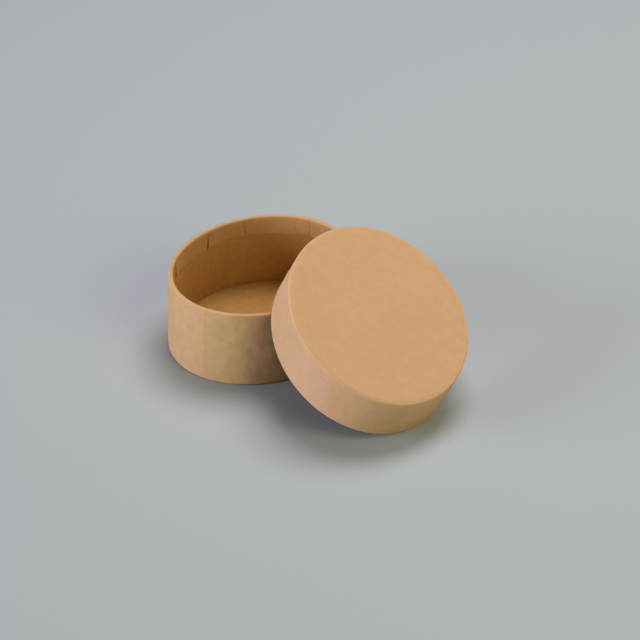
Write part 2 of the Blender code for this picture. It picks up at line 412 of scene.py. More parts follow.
def start_oval(name, oval, inset, height):
    """An oval wire in edit mode, all selected, and its half length and half width."""
    bpy.ops.object.select_all(action="DESELECT")
    bpy.ops.mesh.primitive_circle_add(vertices=COLUMNS, radius=1.0, fill_type="NOTHING", location=(0, 0, 0))
    piece = bpy.context.object
    piece.name = name
    bpy.ops.object.mode_set(mode="EDIT")
    bpy.ops.mesh.select_all(action="SELECT")
    size = [half - inset for half in oval]
    bpy.ops.transform.resize(value=(*size, 1.0), center_override=(0.0, 0.0, 0.0))
    bpy.ops.transform.translate(value=(0.0, 0.0, height))
    return piece, size


def draw_on(oval, size, inset, rise):
    """Extrudes the selected wire to its next ring, and gives that ring's half length and half width."""
    grow = [(half - inset) / old for half, old in zip(oval, size)]
    bpy.ops.mesh.extrude_region_move(TRANSFORM_OT_translate={"value": (0.0, 0.0, rise)})
    bpy.ops.transform.resize(value=(*grow, 1.0), center_override=(0.0, 0.0, 0.0))
    return [half - inset for half in oval]


def turn_outwards():
    """Selects all and makes the faces agree on which side is outer."""
    bpy.ops.mesh.select_all(action="SELECT")
    bpy.ops.mesh.normals_make_consistent(inside=False)


def drawn_sheet(name, oval, section):
    """A sheet with no thickness, drawn out ring by ring from an oval wire."""
    inset, height = section[0]
    sheet, size = start_oval(name, oval, inset, height)
    for inset, next_height in section[1:]:
        size = draw_on(oval, size, inset, next_height - height)
        height = next_height
    turn_outwards()
    shut()
    return sheet


def arc_lengths(oval):
    """Angles round the oval and the outline's length up to each, over one turn."""
    angles = np.linspace(0.0, math.tau, STEPS_PER_COLUMN * COLUMNS + 1)
    places = np.column_stack([oval[0] * np.cos(angles), oval[1] * np.sin(angles)])
    steps = np.linalg.norm(np.diff(places, axis=0), axis=1)
    return angles, np.concatenate([[0.0], np.cumsum(steps)])


def corner_points(mesh):
    """The number of the point at each face corner."""
    points = np.zeros(len(mesh.loops), int)
    mesh.loops.foreach_get("vertex_index", points)
    return points


def lay_flat(sheet, oval, section, lap_share):
    """The sheet's UV map in metres: round from the lap, and along the section from its first edge.

    Gives how far round each face corner lies, and the whole way round.
    """
    mesh = sheet.data
    ring = np.array([vertex.co[:2] for vertex in mesh.vertices[:COLUMNS]])
    first = [half - section[0][0] for half in oval]
    angles = np.arctan2(ring[:, 1] / first[1], ring[:, 0] / first[0]) % math.tau
    table_angles, lengths = arc_lengths(oval)
    whole = lengths[-1]
    start = np.interp(lap_share % 1.0 * math.tau, table_angles, lengths)
    unrolled = (np.interp(angles, table_angles, lengths) - start + CLOSE) % whole
    running = [0.0]
    for one, two in zip(section, section[1:]):
        running.append(running[-1] + math.dist(one, two))
    points = corner_points(mesh)
    # A face that crosses the lap has corners at both ends of the sheet: its early ones go to the far end
    around = unrolled[points % COLUMNS].reshape(-1, 4)
    crossing = (around.max(1) - around.min(1)) > whole / 2
    around[crossing] = np.where(around[crossing] < whole / 2, around[crossing] + whole, around[crossing])
    flat = np.column_stack([around.ravel(), np.array(running)[points // COLUMNS]])
    mesh.uv_layers.new(name=LIE).data.foreach_set("uv", flat.ravel())
    return around.ravel(), whole


def mark_ends(mesh, around, whole, tinge):
    """Marks the sheet's two ends, whose colours differ a little where they meet at the lap."""
    before, after = (whole - around) / tinge[0], around / tinge[1]
    for name, away, (at_lap, rise) in ((PALE_END, before, PALE_GROWTH), (GREEN_START, after, GREEN_GROWTH)):
        values = np.clip(np.minimum(at_lap + rise * away, TINGE_END - away), 0.0, 1.0)
        mesh.attributes.new(name, "FLOAT", "CORNER").data.foreach_set("value", values)


def mark_points(mesh, name, values):
    """Gives each point a value from 0 to 1."""
    mesh.attributes.new(name, "FLOAT", "POINT").data.foreach_set("value", values)


def on_oval(oval, angle, inset=0.0, height=0.0):
    """A place at an angle round the oval, and the directions out of it and along it there."""
    place = Vector(((oval[0] - inset) * math.cos(angle), (oval[1] - inset) * math.sin(angle), height))
    out = Vector((oval[1] * math.cos(angle), oval[0] * math.sin(angle), 0.0)).normalized()
    return place, out, Vector((-out.y, out.x, 0.0))


def column_at(share):
    """The column of corners nearest to a share of a turn."""
    return round((share - FIRST_TURN) * COLUMNS) % COLUMNS


def column_angle(column):
    return (column / COLUMNS + FIRST_TURN) * math.tau


def corner_at(shape, ring, column):
    return shape.verts[ring * COLUMNS + column % COLUMNS]


def mark_column(shape, column, rings):
    """Selects the edges of one column between rings, where the sheet is to be cut."""
    for ring in rings:
        ends = corner_at(shape, ring, column), corner_at(shape, ring + 1, column)
        shape.edges.get(ends).select_set(True)


def mark_ring(shape, ring, columns):
    """Selects the edges of one ring between columns, where the sheet is to be cut."""
    for column in columns:
        ends = corner_at(shape, ring, column), corner_at(shape, ring, column + 1)
        shape.edges.get(ends).select_set(True)


def corner_beside(shape, place, along):
    """Of the corners that a cut made at one place, the one whose faces lie further along."""

    def how_far_along(corner):
        return sum((face.calc_center_median() - place).dot(along) for face in corner.link_faces)

    found = [corner for corner in shape.verts if (corner.co - place).length < CLOSE]
    if not found:
        raise RuntimeError("no corner of the sheet lies at the cut")
    return max(found, key=how_far_along)


def fading(reach, falloff="SMOOTH"):
    """The choices that let an edit fade out over the sheet within its reach."""
    return {
        "use_proportional_edit": True,
        "proportional_edit_falloff": falloff,
        "proportional_size": reach,
        "use_proportional_connected": True,
    }


def pull(corner, move, reach, falloff="SMOOTH"):
    """Moves one corner, and the sheet within reach of it less and less."""
    bpy.ops.mesh.select_all(action="DESELECT")
    corner.select_set(True)
    bpy.ops.transform.translate(value=move, **fading(reach, falloff))


def cut_slits(sheet, oval, section, slits, turn_in_rings, margin_rings):
    """Cuts the turned-in leg and the margin, and opens each cut into a wedge.

    The lap's cuts put their new corners after the sheet's own, so its columns are still in order here.
    """
    shape = open_up(sheet)
    shape.verts.ensure_lookup_table()
    for share, *_ in slits:
        mark_column(shape, column_at(share), turn_in_rings)
        mark_column(shape, column_at(share), margin_rings)
    bpy.ops.mesh.edge_split(type="EDGE")
    edge, margin_edge = section[-1], section[0]
    depth = math.dist(section[turn_in_rings[0]], edge)
    margin_depth = math.dist(section[margin_rings[-1] + 1], margin_edge)
    # All the corners are found first, because a pull also moves what lies near it
    pulls = []
    for share, width, stand, lean in slits:
        angle = column_angle(column_at(share))
        ends = ((edge, depth, stand, lean), (margin_edge, margin_depth, 0.0, 0.0))
        for (inset, height), reach, lift, aside in ends:
            place, out, along = on_oval(oval, angle, inset, height)
            for side in (along, -along):
                # Only the tab on one side of a slit stands off the board
                off = lift if side == -along else 0.0
                move = side * width / 2 + along * aside - out * off
                pulls.append((corner_beside(shape, place, side), move, reach))
    for corner, move, reach in pulls:
        pull(corner, move, reach, "LINEAR")
    shut()


def trim_unevenly(sheet, oval, section, places):
    """Draws the turned-in paper's edge back or forth, so that it isn't a straight line."""
    shape = open_up(sheet)
    inset, height = section[-1]
    back = Vector((0.0, 0.0, section[-2][1] - height)).normalized()
    for degrees, distance, reach in places:
        place, _, _ = on_oval(oval, math.radians(degrees), inset, height)
        nearest = min(shape.verts, key=lambda corner: (corner.co - place).length_squared)
        pull(nearest, back * distance, reach)
    shut()


def lean_lap(sheet, oval, section, rings, column, columns_aside, run):
    """Slides the lap's column aside along the oval, so that the cut there follows a slanting end."""
    first = section[rings[0]][1]
    spread = round(LEAN_SPREAD * columns_aside)
    last = len(section) - 1
    for ring in range(rings[0], last + 1):
        inset, height = section[ring]
        share = min(1.0, abs(height - first) / run)
        # On the turned-in leg the columns come back to their places
        share *= min(1.0, (last - ring) / (last - rings[-1]))
        for aside in range(-spread, spread + 1):
            ease = 0.5 + 0.5 * math.cos(math.pi * aside / spread)
            angle = column_angle(column + aside + columns_aside * share * ease)
            corner = sheet.data.vertices[ring * COLUMNS + (column + aside) % COLUMNS]
            corner.co = on_oval(oval, angle, inset, height)[0]


def raise_lap(sheet, rings, columns, stand, ease):
    """Cuts the sheet along the lap's end and its trimmed edge, and lifts the upper layer a little.

    The upper layer ends behind the last of the columns, and its trimmed edge is by the last of the
    rings, which run up or down.
    """
    shape = open_up(sheet)
    shape.verts.ensure_lookup_table()
    low, high = min(rings), max(rings) + 1
    trimmed = rings[-1] if rings[-1] < rings[0] else rings[-1] + 1
    layer = []
    for ring in range(low, high):
        for column in columns:
            near, far = corner_at(shape, ring, column), corner_at(shape, ring + 1, column + 1)
            layer += set(near.link_faces) & set(far.link_faces)
    mark_column(shape, columns[-1] + 1, range(low, high))
    mark_ring(shape, trimmed, range(columns[0] - len(columns) // 2, columns[-1] + 1))
    bpy.ops.mesh.edge_split(type="EDGE")
    bpy.ops.mesh.select_all(action="DESELECT")
    for face in layer:
        face.select_set(True)
    bpy.ops.transform.shrink_fatten(value=stand, **fading(ease))
    shut()


def mark_wear_and_highlight(sheet, section):
    """Says how near each ring of corners is to a fold's round, where the paper is rubbed pale and painted
    with highlight.
    """
    places = np.array(section)
    ways = np.diff(places, axis=0)
    ways /= np.linalg.norm(ways, axis=1)[:, None]
    folds = places[1:-1][(ways[1:] * ways[:-1]).sum(1) < STRAIGHT]
    distances = np.linalg.norm(places[:, None] - folds[None], axis=2).min(1)
    mark_points(sheet.data, WEAR_AND_HIGHLIGHT, np.repeat(np.clip(1.0 - distances / WEAR_AND_HIGHLIGHT_REACH, 0.0, 1.0), COLUMNS))


def mark_inner_shade(sheet, section, inset):
    """Marks the turned-in leg, which is painted darker and more orange as shade inside the box and the lid.
    """
    shares = [1.0 if abs(at - inset) < CLOSE else 0.0 for at, _ in section]
    mark_points(sheet.data, INNER_SHADE_MASK, np.repeat(np.array(shares), COLUMNS))


def give_group(sheet, weights):
    """A vertex group that says how far each ring of corners may move."""
    group = sheet.vertex_groups.new(name=GIVE)
    for ring, weight in enumerate(weights):
        group.add(list(range(ring * COLUMNS, (ring + 1) * COLUMNS)), weight, "REPLACE")


def ripple(piece, size, height, group=""):
    """Slight waves over a sheet, from a cloud pattern in space."""
    pattern = bpy.data.textures.new(piece.name + "_waves", "CLOUDS")
    pattern.noise_scale = size
    pattern.noise_depth = 1
    waves = piece.modifiers.new("waves", "DISPLACE")
    waves.texture = pattern
    waves.texture_coords = "LOCAL"
    waves.strength = height
    waves.mid_level = 0.5
    waves.vertex_group = group
    apply_modifiers(piece)
    bpy.data.textures.remove(pattern)


def dent(sheet, oval, inset, places):
    """Presses small dents into a side: each place has an angle, a height, a depth and a reach."""
    shape = open_up(sheet)
    for degrees, height, depth, reach in places:
        place, out, _ = on_oval(oval, math.radians(degrees), inset, height)
        nearest = min(shape.verts, key=lambda corner: (corner.co - place).length_squared)
        pull(nearest, -out * depth, reach)
    shut()


def thicken(piece, thickness):
    solid = piece.modifiers.new("thickness", "SOLIDIFY")
    solid.thickness = thickness
    solid.offset = 0.0
    solid.use_even_offset = True
    apply_modifiers(piece)


def drawn_disc(name, oval, inset, bottom, top):
    """An oval disc: a ring of edges drawn inwards in steps and filled with a grid."""
    disc, size = start_oval(name, oval, inset, (bottom + top) / 2)
    for step in DISC_RINGS:
        size = draw_on(oval, size, inset + step, 0.0)
    bpy.ops.mesh.fill_grid(span=COLUMNS // 4, offset=0)
    turn_outwards()
    if sum(face.normal.z for face in bmesh.from_edit_mesh(disc.data).faces) < 0:
        bpy.ops.mesh.flip_normals()
    shut()
    mesh = disc.data
    places = np.zeros(len(mesh.vertices) * 3)
    mesh.vertices.foreach_get("co", places)
    flat = places.reshape(-1, 3)[corner_points(mesh), :2]
    mesh.uv_layers.new(name=LIE).data.foreach_set("uv", flat.ravel())
    rub_and_highlight = np.zeros(len(mesh.vertices))
    for ring, share in enumerate(DISC_WEAR_AND_HIGHLIGHT):
        rub_and_highlight[ring * COLUMNS : (ring + 1) * COLUMNS] = share
    mark_points(mesh, WEAR_AND_HIGHLIGHT, rub_and_highlight)
    return disc


def hand_over(piece, material, node, body):
    """Gives a finished piece its material, its shading and its place in the frame."""
    take_up(piece)
    piece.data.materials.append(material)
    bpy.ops.object.shade_smooth_by_angle(angle=SHARP_ANGLE)
    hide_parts(node)
    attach(piece, body)


def lay_lid_piece(piece):
    """Moves a lid's sheet from its upright place round the origin to where the lid leans."""
    piece.data.transform(LID_FRAME)
    piece.data.update()


def add_node(tree, kind, inputs=None, **choices):
    """Adds a node, makes its choices, and sets or links its inputs by name or number."""
    made = tree.nodes.new(kind)
    for name, choice in choices.items():
        setattr(made, name, choice)
    for name, value in (inputs or {}).items():
        if isinstance(value, bpy.types.NodeSocket):
            tree.links.new(value, made.inputs[name])
        else:
            made.inputs[name].default_value = value
    return made


# A noise seldom leaves this range
CLOUD_RANGE = (0.3, 0.7)


def spread(tree, value, low, high):
    """A cloud's middle range, turned into a factor between two values."""
    near, far = CLOUD_RANGE
    inputs = {"Value": value, "From Min": near, "From Max": far, "To Min": low, "To Max": high}
    return add_node(tree, "ShaderNodeMapRange", inputs).outputs["Result"]


def swing(tree, value, share):
    """A factor that swings to both sides of 1 with a cloud."""
    return spread(tree, value, 1.0 - share, 1.0 + share)


def product(tree, *values):
    result = values[0]
    for value in values[1:]:
        result = add_node(tree, "ShaderNodeMath", {0: result, 1: value}, operation="MULTIPLY").outputs[0]
    return result


def sheet_millimetres(tree, stretch=(1.0, 1.0, 1.0), turn=0.0):
    """Places on the sheet laid flat, in millimetres, stretched and turned for a pattern."""
    flat = add_node(tree, "ShaderNodeUVMap", uv_map=LIE)
    scaled = tuple(1.0 / MM * share for share in stretch)
    turned = add_node(tree, "ShaderNodeMapping", {"Vector": flat.outputs[0], "Rotation": (0.0, 0.0, turn)})
    return add_node(tree, "ShaderNodeMapping", {"Vector": turned.outputs[0], "Scale": scaled}).outputs[0]


def clouds(tree, places, grain, detail=2.0, roughness=0.5):
    """A noise whose patches are about so many millimetres across."""
    inputs = {"Vector": places, "Scale": 1.0 / grain, "Detail": detail, "Roughness": roughness}
    return add_node(tree, "ShaderNodeTexNoise", inputs).outputs[0]


def fibres(tree, turn, long, wide, low, high):
    """Short streaks that lie one way: their mask is 1 along each fibre."""
    places = sheet_millimetres(tree, (1.0 / long, 1.0 / wide, 1.0), turn)
    noise = add_node(tree, "ShaderNodeTexNoise", {"Vector": places, "Scale": 1.0, "Detail": 1.0}).outputs[0]
    inputs = {"Value": noise, "From Min": low, "From Max": high, "To Min": 0.0, "To Max": 1.0}
    return add_node(tree, "ShaderNodeMapRange", inputs).outputs["Result"]


# Tints of the plain colour: the paper from patch to patch, its two ends, painted shade on the turned-in
# leg, where folds are rubbed and painted with highlight, in its pale and dark fibres, and the board's dark
# fibres and painted shade in the slits
PINKER = (1.01, 0.985, 1.08)
GREENER = (0.985, 1.015, 0.90)
END_TINT = (1.065, 1.065, 1.17)
START_TINT = (0.99, 1.065, 1.0)
INNER_SHADE_TINT = (0.96, 0.89, 0.69)
RUBBED_AND_HIGHLIGHT_TINT = (1.06, 1.08, 1.12)
PALE_TINT = (1.16, 1.16, 1.16)
DARK_TINT = (0.72, 0.72, 0.72)
BOARD_DARK_TINT = (0.6, 0.6, 0.6)
SLIT_SHADE_TINT = (0.30, 0.30, 0.30)
# How strongly fibres and specks show, and how much of a speck is full
PALE_FIBRES = 0.6
DARK_FIBRES = 0.5
BOARD_FIBRES = 0.4
SPECKS = 0.6
SPECK_CORE = 0.6


def new_material(name):
    material = bpy.data.materials.new(name)
    material.use_nodes = True
    material.node_tree.nodes.clear()
    return material


def specks(tree, cell, radius, share):
    """Small flecks, one in some of the cells that a Voronoi pattern makes."""
    cells = add_node(tree, "ShaderNodeTexVoronoi", {"Vector": sheet_millimetres(tree), "Scale": 1.0 / cell})
    edge, core = radius / cell, SPECK_CORE * radius / cell
    inputs = {"Value": cells.outputs["Distance"], "From Min": edge, "From Max": core}
    near = add_node(tree, "ShaderNodeMapRange", inputs).outputs["Result"]
    parts = add_node(tree, "ShaderNodeSeparateColor", {"Color": cells.outputs["Color"]})
    kept = add_node(tree, "ShaderNodeMath", {0: parts.outputs[0], 1: share}, operation="LESS_THAN")
    return product(tree, near, kept.outputs[0])


def blended(tree, share, one, two):
    """A colour between two, by a mask; each is a socket or a plain colour."""
    colours = {6: one, 7: two}
    inputs = {key: (*value, 1.0) if isinstance(value, tuple) else value for key, value in colours.items()}
    return add_node(tree, "ShaderNodeMix", {0: share, **inputs}, data_type="RGBA").outputs[2]


def multiplied(tree, share, colour, tint):
    """A colour times a tint, in places that a mask gives."""
    inputs = {0: share, 6: colour, 7: (*tint, 1.0)}
    return add_node(tree, "ShaderNodeMix", inputs, data_type="RGBA", blend_type="MULTIPLY").outputs[2]


def attribute(tree, name):
    """A mask that the piece's own mesh carries."""
    choices = {"attribute_name": name, "attribute_type": "GEOMETRY"}
    return add_node(tree, "ShaderNodeAttribute", **choices).outputs["Fac"]


def tinted(plain, tint):
    return tuple(min(1.0, channel * share) for channel, share in zip(plain, tint))


def dull_surface(tree, face, roughness, specular, height, bump_height):
    """The rough, dull surface that both materials end in."""
    bump = add_node(tree, "ShaderNodeBump", {"Height": height, "Strength": 0.6, "Distance": bump_height})
    inputs = {
        "Base Color": face,
        "Roughness": roughness,
        "IOR": 1.45,
        "Specular IOR Level": specular,
        "Normal": bump.outputs[0],
    }
    shader = add_node(tree, "ShaderNodeBsdfPrincipled", inputs)
    add_node(tree, "ShaderNodeOutputMaterial", {"Surface": shader.outputs[0]})


def paper_material(name, kraft, mottle):
    """Unbleached kraft paper: cloudy, pinker and greener by patches, with short fibres, rubbed folds
    painted paler as highlight, and painted shade on the turned-in leg.
    """
    material = new_material(name)
    tree = material.node_tree
    plain = tuple(kraft)
    slanted = sheet_millimetres(tree, stretch=(1.0, 0.7, 1.0), turn=math.radians(15))
    narrowed = sheet_millimetres(tree, stretch=(1.0, 2.2, 1.0))
    drift = clouds(tree, sheet_millimetres(tree), grain=30.0)
    cloud = clouds(tree, sheet_millimetres(tree), grain=5.0, detail=3.0)
    fine = clouds(tree, narrowed, grain=0.5, detail=3.0, roughness=0.6)
    hue = clouds(tree, slanted, grain=7.0)
    side = spread(tree, hue, low=0.5 - 0.5 * mottle, high=0.5 + 0.5 * mottle)
    patched = blended(tree, side, tinted(plain, PINKER), tinted(plain, GREENER))
    for mark, tint in ((PALE_END, END_TINT), (GREEN_START, START_TINT)):
        patched = multiplied(tree, attribute(tree, mark), patched, tint)
    # Painted shade: the turned-in leg is darkened and made more orange
    patched = blended(tree, attribute(tree, INNER_SHADE_MASK), patched, tinted(plain, INNER_SHADE_TINT))
    swings = [swing(tree, drift, share=0.04 * mottle), swing(tree, cloud, share=0.06 * mottle)]
    tone = product(tree, *swings, swing(tree, fine, share=0.045))
    face = add_node(tree, "ShaderNodeHueSaturation", {"Color": patched, "Value": tone}).outputs[0]
    pale = fibres(tree, turn=math.radians(24), long=2.4, wide=0.14, low=0.60, high=0.72)
    dark = fibres(tree, turn=math.radians(-31), long=1.8, wide=0.12, low=0.62, high=0.76)
    flecks = specks(tree, cell=3.4, radius=0.16, share=0.4)
    face = blended(tree, product(tree, pale, PALE_FIBRES), face, tinted(plain, PALE_TINT))
    face = blended(tree, product(tree, dark, DARK_FIBRES), face, tinted(plain, DARK_TINT))
    face = blended(tree, product(tree, flecks, SPECKS), face, tinted(plain, DARK_TINT))
    # Rubbed wear and painted highlight: the paper is paler at folds and disc edges
    rubbed = product(tree, attribute(tree, WEAR_AND_HIGHLIGHT), spread(tree, cloud, low=0.1, high=0.7))
    face = blended(tree, rubbed, face, tinted(plain, RUBBED_AND_HIGHLIGHT_TINT))
    height = product(tree, fine, spread(tree, cloud, low=0.9, high=1.1))
    roughness = spread(tree, fine, low=0.76, high=0.88)
    dull_surface(tree, face, roughness, specular=0.3, height=height, bump_height=0.04 * MM)
    return material


def board_material(name, board):
    """Grey-brown board, its colour partly painted shade: coarser and blotchier than the paper, and painted
    darker as shade where a slit leaves it bare.
    """
    material = new_material(name)
    tree = material.node_tree
    plain = tuple(board)
    drawn_long = sheet_millimetres(tree, stretch=(0.6, 1.6, 1.0))
    drift = clouds(tree, sheet_millimetres(tree), grain=22.0)
    cloud = clouds(tree, sheet_millimetres(tree), grain=3.5, detail=3.0)
    fine = clouds(tree, drawn_long, grain=0.6, detail=3.0, roughness=0.6)
    swings = [swing(tree, drift, share=0.05), swing(tree, cloud, share=0.08), swing(tree, fine, share=0.06)]
    inputs = {"Color": (*plain, 1.0), "Value": product(tree, *swings)}
    face = add_node(tree, "ShaderNodeHueSaturation", inputs).outputs[0]
    # Painted shade: the board is darkened where the paper's slits leave it bare
    face = blended(tree, attribute(tree, PAINTED_SLIT_SHADE), face, tinted(plain, SLIT_SHADE_TINT))
    dark = fibres(tree, turn=math.radians(12), long=2.6, wide=0.16, low=0.62, high=0.76)
    face = blended(tree, product(tree, dark, BOARD_FIBRES), face, tinted(plain, BOARD_DARK_TINT))
    roughness = spread(tree, fine, low=0.82, high=0.94)
    dull_surface(tree, face, roughness, specular=0.25, height=fine, bump_height=0.05 * MM)
    return material


def material_named(name, make, *finish):
    """The material of that name, made on first use."""
    return bpy.data.materials.get(name) or make(name, *finish)


def box_finish():
    finish = finish_colours()
    return material_named("box_paper_finish", paper_material, finish.kraft, finish.box_mottle)


def lid_finish():
    finish = finish_colours()
    return material_named("lid_paper_finish", paper_material, finish.kraft_lid, finish.lid_mottle)


def board_finish():
    return material_named("board_finish", board_material, finish_colours().board)


def rings_at(section, inset):
    """The rings of one upright leg of a section."""
    return [ring for ring, (at, _) in enumerate(section) if abs(at - inset) < CLOSE]


def wrapped_paper(name, oval, section, slits, edge, dents, lap, tinge, lean=None):
    """A wrapping paper: drawn, cut, lapped, dented and given its thickness."""
    s = settings()
    lap_share, lap_width, lap_trim = lap
    sheet = drawn_sheet(name, oval, section)
    around, whole = lay_flat(sheet, oval, section, lap_share)
    mark_ends(sheet.data, around, whole, tinge)
    mark_wear_and_highlight(sheet, section)
    mark_inner_shade(sheet, section, s.wall - s.paper / 2)
    side = rings_at(section, s.paper / 2)
    inner = rings_at(section, s.wall - s.paper / 2)
    margin = [ring for ring, (inset, _) in enumerate(section) if inset > s.cover_inset and ring < side[0]]
    give_group(sheet, [leg_weight(ring, side[0], side[-1]) for ring in range(len(section))])

    # The lap's trimmed edge lies near the rim of the box, and near the top of the lid
    trimmed = max(height for _, height in section) - lap_trim
    kept = [ring for ring in side if section[ring][1] < trimmed]
    rings = kept[:-1] if kept[0] == side[0] else kept[:-1][::-1]
    width = max(1, round(lap_width / (oval[1] * math.tau / COLUMNS)))
    end = column_at(lap_share)
    if lean:
        lean_lap(sheet, oval, section, kept, end, *lean)
    raise_lap(sheet, rings, range(end - width, end), LAP_STAND, LAP_EASE)
    cut_slits(sheet, oval, section, slits, range(inner[0], len(section) - 1), range(0, len(margin)))
    trim_unevenly(sheet, oval, section, edge)
    for waves in SIDE_WAVES:
        ripple(sheet, *waves, GIVE)
    dent(sheet, oval, s.paper / 2, dents)
    thicken(sheet, s.paper)
    return sheet


def leg_weight(ring, low, high):
    """1 in the middle of a leg, and down to 0 at the folds at its ends."""
    if not low < ring < high:
        return 0.0
    return min(1.0, (ring - low) / EASE_RINGS, (high - ring) / EASE_RINGS)


class OVALBOX_OT_box_paper(bpy.types.Operator):
    """The paper round the box: folded under it, up its side, over the rim and down inside"""

    bl_idname = "ovalbox.box_paper"
    bl_label = "Box Wrapping Paper"

    def execute(self, context):
        s = settings()
        # The margin lies between the bottom paper and the floor
        section = wrap_section(BOX_HEIGHT, s.box_margin, 1.5 * s.paper, s.bottom_round, s.box_turn_in)
        lap = (BOX_LAP_SHARE, BOX_LAP_WIDTH, BOX_LAP_TRIM)
        marks = (BOX_SLITS, BOX_EDGE, BOX_DENTS)
        sheet = wrapped_paper("box_wrapping_paper", BOX_OVAL, section, *marks, lap, BOX_TINGE)
        hand_over(sheet, box_finish(), "base_wrap_paper", "base")
        return {"FINISHED"}


class OVALBOX_OT_box_bottom(bpy.types.Operator):
    """The oval paper glued under the box, over the folded margin"""

    bl_idname = "ovalbox.box_bottom"
    bl_label = "Box Bottom Paper"

    def execute(self, context):
        s = settings()
        disc = drawn_disc("box_bottom_paper", BOX_OVAL, s.cover_inset, 0.0, s.paper)
        thicken(disc, s.paper)
        hand_over(disc, box_finish(), "base_bottom_paper", "base")
        return {"FINISHED"}


class OVALBOX_OT_box_boards(bpy.types.Operator):
    """The box's floor disc and the bent board of its side"""

    bl_idname = "ovalbox.box_boards"
    bl_label = "Box Boards"

    def execute(self, context):
        s = settings()
        bottom = 2 * s.paper
        disc = drawn_disc("box_floor_board", BOX_OVAL, s.wall - s.paper + FLOOR_GAP, bottom, FLOOR_TOP)
        ripple(disc, *FLOOR_WAVES)
        thicken(disc, FLOOR_TOP - bottom)
        hand_over(disc, board_finish(), "base_floor_board", "base")
        shown = (BOX_HEIGHT - s.box_turn_in, BOX_HEIGHT)
        # The board ends where the paper's round begins
        top = BOX_HEIGHT - s.paper - s.rim_round
        side = side_board("box_side_board", BOX_OVAL, bottom, top, BOX_LAP_SHARE, BOX_SLITS, shown)
        hand_over(side, board_finish(), "base_wall_board", "base")
        return {"FINISHED"}


def side_board(name, oval, bottom, top, lap_share, slits, turn_in):
    """The bent strip between the two legs of the paper, clear of the outer leg's dents and waves."""
    s = settings()
    outer, inner = s.paper + BOARD_BACK, s.wall - s.paper
    middle = (outer + inner) / 2
    section = fill_in([(middle, bottom), (middle, top)], ROW_STEP)
    side = drawn_sheet(name, oval, section)
    lay_flat(side, oval, section, lap_share)
    shade_under_slits(side, section, slits, turn_in)
    thicken(side, inner - outer)
    return side


def shade_under_slits(side, section, slits, turn_in):
    """Marks painted shade on the board where the wrapping paper's slits leave it bare, fuller for wider
    slits.

    The box's slits open downwards from the rim, and the upright lid's upwards from its mouth at zero.
    """
    low, high = turn_in
    slit_shade_values = np.zeros(len(side.data.vertices))
    reach = max(abs(section[0][1] - high), abs(section[-1][1] - low), high - low)
    for share, width, _, lean in slits:
        for ring, (_, height) in enumerate(section):
            if low < height < high:
                run = (high - height) / reach if low > 0.0 else height / reach
                column = column_at(share) + round(lean * min(1.0, run) / COLUMN_STEP)
                slit_shade_values[ring * COLUMNS + column % COLUMNS] = min(1.0, (width / FULL_SLIT_SHADE_WIDTH) ** 2)
    mark_points(side.data, PAINTED_SLIT_SHADE, slit_shade_values)


class OVALBOX_OT_lid_paper(bpy.types.Operator):
    """The paper round the lid: over its top's edge, down its side and in at the mouth"""

    bl_idname = "ovalbox.lid_paper"
    bl_label = "Lid Wrapping Paper"

    def execute(self, context):
        s = settings()
        height = LID_HEIGHT - s.paper
        upright = wrap_section(height, s.lid_margin, s.paper / 2, s.top_round, s.lid_turn_in)
        section = [(inset, height - up) for inset, up in upright]
        lap = (LID_LAP_SHARE, LID_LAP_WIDTH, LID_LAP_TRIM)
        lean = (LID_LAP_LEAN_COLUMNS, LID_LAP_LEAN_RUN)
        marks = (LID_SLITS, LID_EDGE, LID_DENTS)
        sheet = wrapped_paper("lid_wrapping_paper", lid_oval(), section, *marks, lap, LID_TINGE, lean)
        lay_lid_piece(sheet)
        hand_over(sheet, lid_finish(), "lid_wrap_paper", "lid")
        return {"FINISHED"}


def lid_oval():
    """The lid's outline: its cover paper's, and the cover's inset."""
    return tuple(half + settings().cover_inset for half in COVER_OVAL)


class OVALBOX_OT_lid_cover(bpy.types.Operator):
    """The oval cover paper on the lid's top"""

    bl_idname = "ovalbox.lid_cover"
    bl_label = "Lid Cover Paper"

    def execute(self, context):
        s = settings()
        disc = drawn_disc("lid_cover_paper", lid_oval(), s.cover_inset, LID_HEIGHT - s.paper, LID_HEIGHT)
        for ring, depth in enumerate(PRESSED):
            for corner in disc.data.vertices[ring * COLUMNS : (ring + 1) * COLUMNS]:
                corner.co.z -= depth
        ripple(disc, *COVER_WAVES)
        thicken(disc, s.paper)
        lay_lid_piece(disc)
        hand_over(disc, lid_finish(), "lid_top_paper", "lid")
        return {"FINISHED"}


class OVALBOX_OT_lid_boards(bpy.types.Operator):
    """The lid's oval disc and the low bent board of its side"""

    bl_idname = "ovalbox.lid_boards"
    bl_label = "Lid Boards"

    def execute(self, context):
        s = settings()
        top = LID_HEIGHT - 2 * s.paper
        disc = drawn_disc("lid_top_disc", lid_oval(), s.wall - s.paper, top - s.top_board, top)
        thicken(disc, s.top_board)
        lay_lid_piece(disc)
        hand_over(disc, board_finish(), "lid_top_board", "lid")
        low, high = s.paper + s.rim_round, top - s.top_round
        shown = (0.0, s.lid_turn_in)
        side = side_board("lid_side_board", lid_oval(), low, high, LID_LAP_SHARE, LID_SLITS, shown)
        lay_lid_piece(side)
        hand_over(side, board_finish(), "lid_rim_board", "lid")
        return {"FINISHED"}


# The photograph's camera, as fitted to the box's outlines, but 0.55% longer and shifted to match, which
# makes up for the rounder folds: focal length in pixels, angles in degrees, distance in metres, and the
# pixel of a 640 pixel frame where the middle of the box's underside lies
FRAME_PIXELS = 640
SENSOR_MM = 36.0
FOCAL_PIXELS = 4022.0
CAMERA_TURN = -59.6358
CAMERA_DOWN = 30.6729
CAMERA_ROLL = 0.8545
CAMERA_DEPTH = 1.88891
ORIGIN_PIXEL = (261.8, 332.5)

